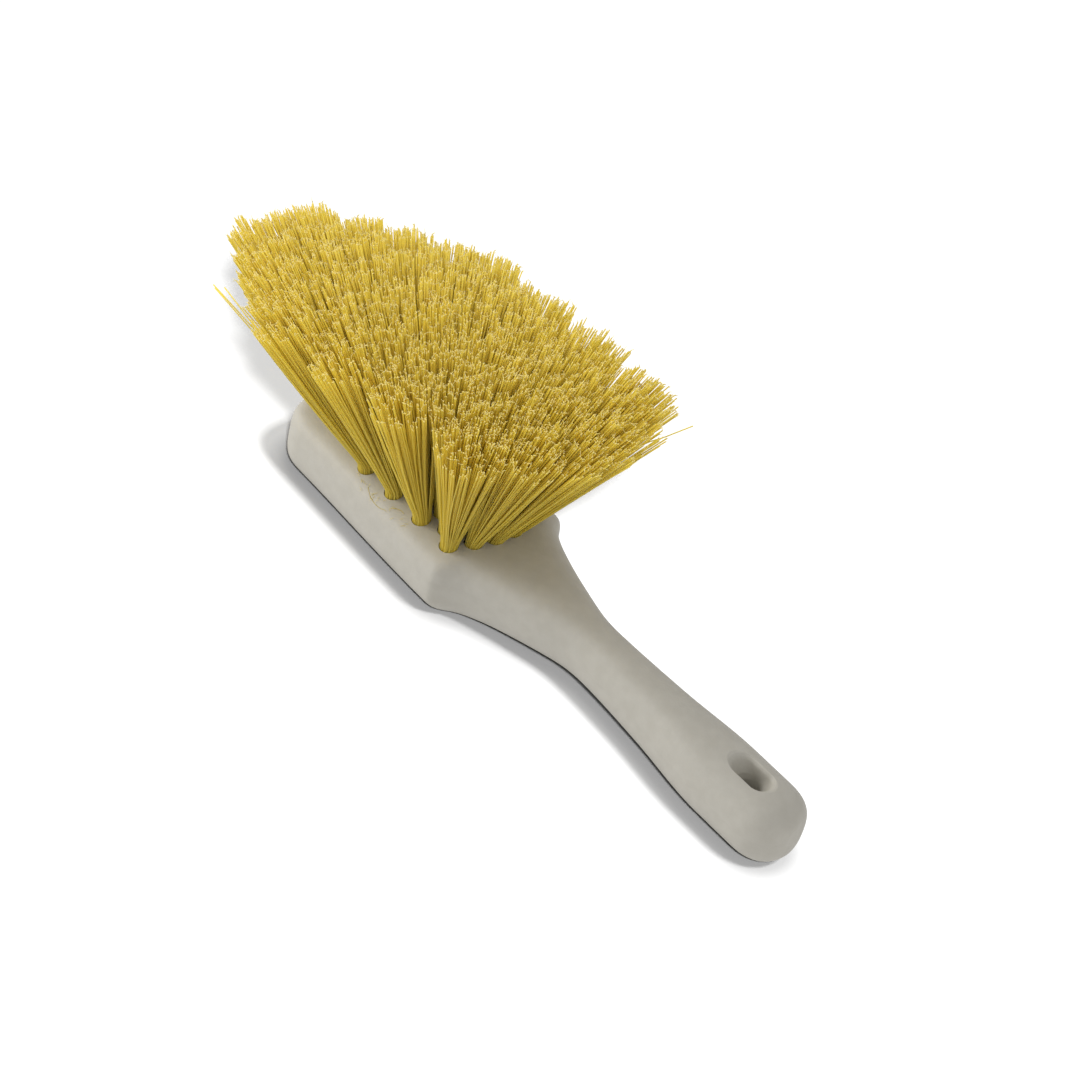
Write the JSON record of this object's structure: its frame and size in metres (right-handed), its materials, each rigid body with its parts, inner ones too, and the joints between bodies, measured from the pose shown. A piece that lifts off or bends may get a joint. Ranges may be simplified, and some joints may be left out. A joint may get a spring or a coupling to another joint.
{
  "type": "wheel brush",
  "caption": "Short-handled wheel brush: one-piece moulded head and waisted handle with a hanging hole, and flared trimmed bristle tufts stapled into the head.",
  "frame": {"origin": "middle of the head's flat back, on the back plane", "axes": "+X along the brush towards the handle's end, +Y across the head, +Z out of the bristle face, so the brush lies on its back with its bristles up"},
  "size_m": [0.2523, 0.0888, 0.0719],
  "materials": {
    "block": "fine moulded orange peel, low sheen",
    "bristle": "semi-gloss extruded filament with feathered tips",
    "anchor": "drawn flat wire"
  },
  "bodies": {
    "root": {"anchor_staples": "anchor", "handle_block": "block", "tuft_c01_r1": "bristle", "tuft_c01_r2": "bristle", "tuft_c02_r1": "bristle", "tuft_c02_r2": "bristle", "tuft_c02_r3": "bristle", "tuft_c03_r1": "bristle", "tuft_c03_r2": "bristle", "tuft_c03_r3": "bristle", "tuft_c03_r4": "bristle", "tuft_c04_r1": "bristle", "tuft_c04_r2": "bristle", "tuft_c04_r3": "bristle", "tuft_c04_r4": "bristle", "tuft_c04_r5": "bristle", "tuft_c05_r1": "bristle", "tuft_c05_r2": "bristle", "tuft_c05_r3": "bristle", "tuft_c05_r4": "bristle", "tuft_c05_r5": "bristle", "tuft_c05_r6": "bristle", "tuft_c06_r1": "bristle", "tuft_c06_r2": "bristle", "tuft_c06_r3": "bristle", "tuft_c06_r4": "bristle", "tuft_c06_r5": "bristle", "tuft_c07_r1": "bristle", "tuft_c07_r2": "bristle", "tuft_c07_r3": "bristle", "tuft_c07_r4": "bristle", "tuft_c07_r5": "bristle", "tuft_c07_r6": "bristle", "tuft_c08_r1": "bristle", "tuft_c08_r2": "bristle", "tuft_c08_r3": "bristle", "tuft_c08_r4": "bristle", "tuft_c08_r5": "bristle", "tuft_c09_r1": "bristle", "tuft_c09_r2": "bristle", "tuft_c09_r3": "bristle", "tuft_c09_r4": "bristle", "tuft_c09_r5": "bristle", "tuft_c09_r6": "bristle", "tuft_c10_r1": "bristle", "tuft_c10_r2": "bristle", "tuft_c10_r3": "bristle", "tuft_c10_r4": "bristle", "tuft_c10_r5": "bristle", "tuft_c11_r1": "bristle", "tuft_c11_r2": "bristle", "tuft_c11_r3": "bristle", "tuft_c11_r4": "bristle", "tuft_c11_r5": "bristle", "tuft_c11_r6": "bristle"}
  },
  "joints": []
}
